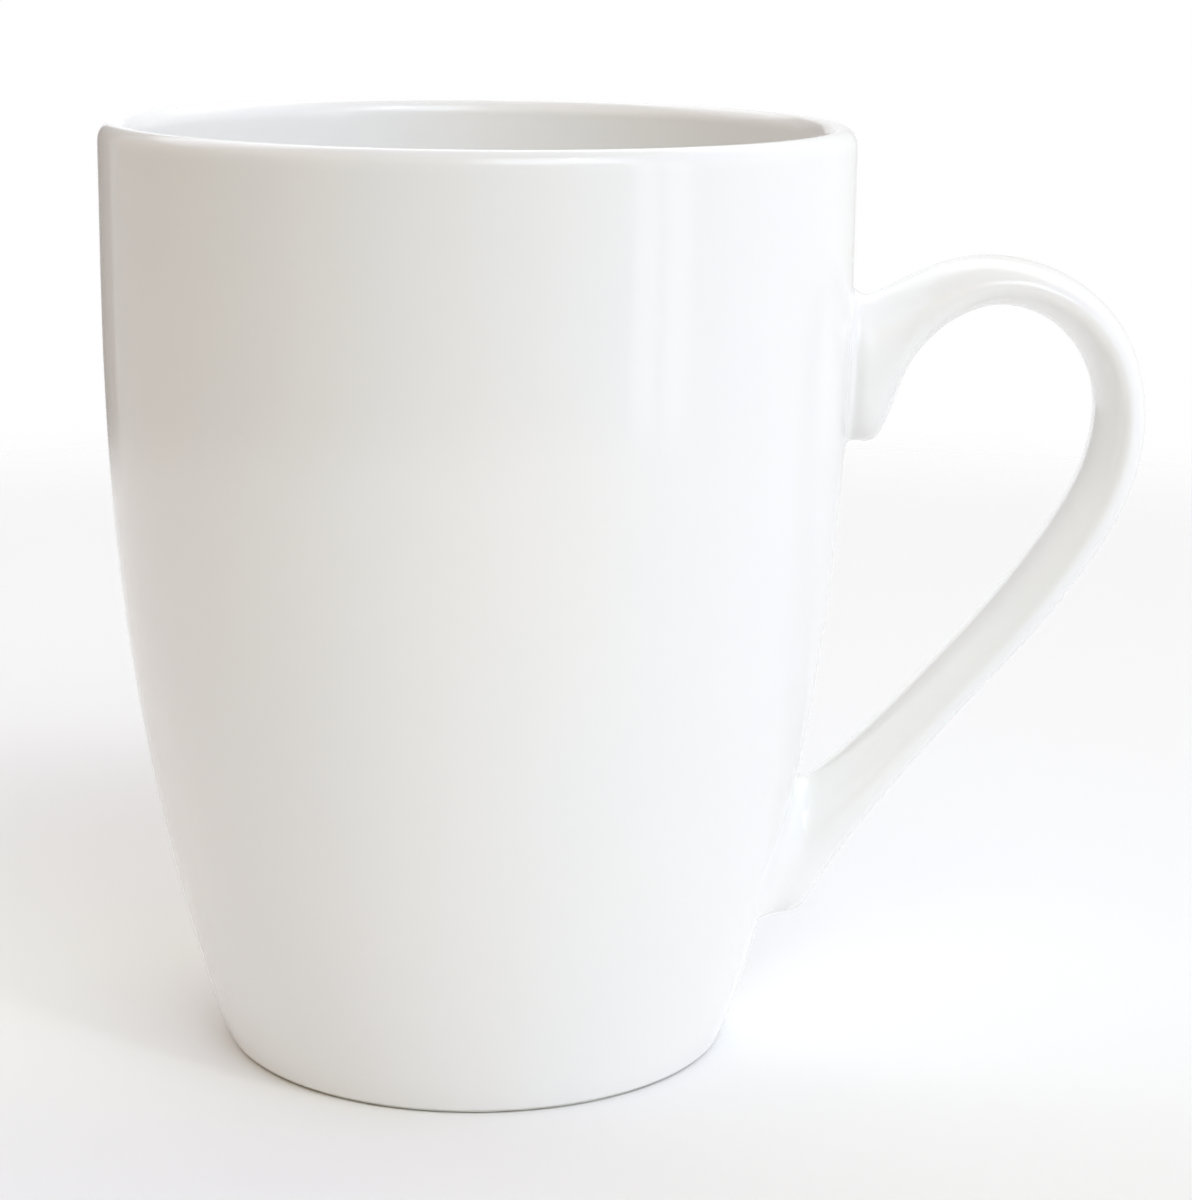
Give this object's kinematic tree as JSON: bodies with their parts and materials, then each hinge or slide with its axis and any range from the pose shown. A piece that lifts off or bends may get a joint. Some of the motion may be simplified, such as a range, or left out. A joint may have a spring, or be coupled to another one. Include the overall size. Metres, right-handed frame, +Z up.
{
  "type": "ceramic mug",
  "caption": "Tall barrel-shaped glazed porcelain mug with an ear-shaped strap handle joined to its side, standing on a narrow foot ring.",
  "frame": {"origin": "on the surface the mug stands on, under the middle of its whole length, cup and handle together; the cup's own axis is 16.85 mm from it towards -X", "axes": "+Z up along the cup's axis, +X from the cup towards the handle, which lies in the plane Y = 0"},
  "size_m": [0.1167, 0.083, 0.1045],
  "materials": {
    "glazed_porcelain": "glossy clear glaze over white porcelain",
    "fired_slip": "white slip under the same clear glaze"
  },
  "bodies": {
    "root": {"cup_body": "glazed_porcelain", "handle": "glazed_porcelain", "upper_slip_joint": "fired_slip", "lower_slip_joint": "fired_slip"}
  },
  "joints": []
}
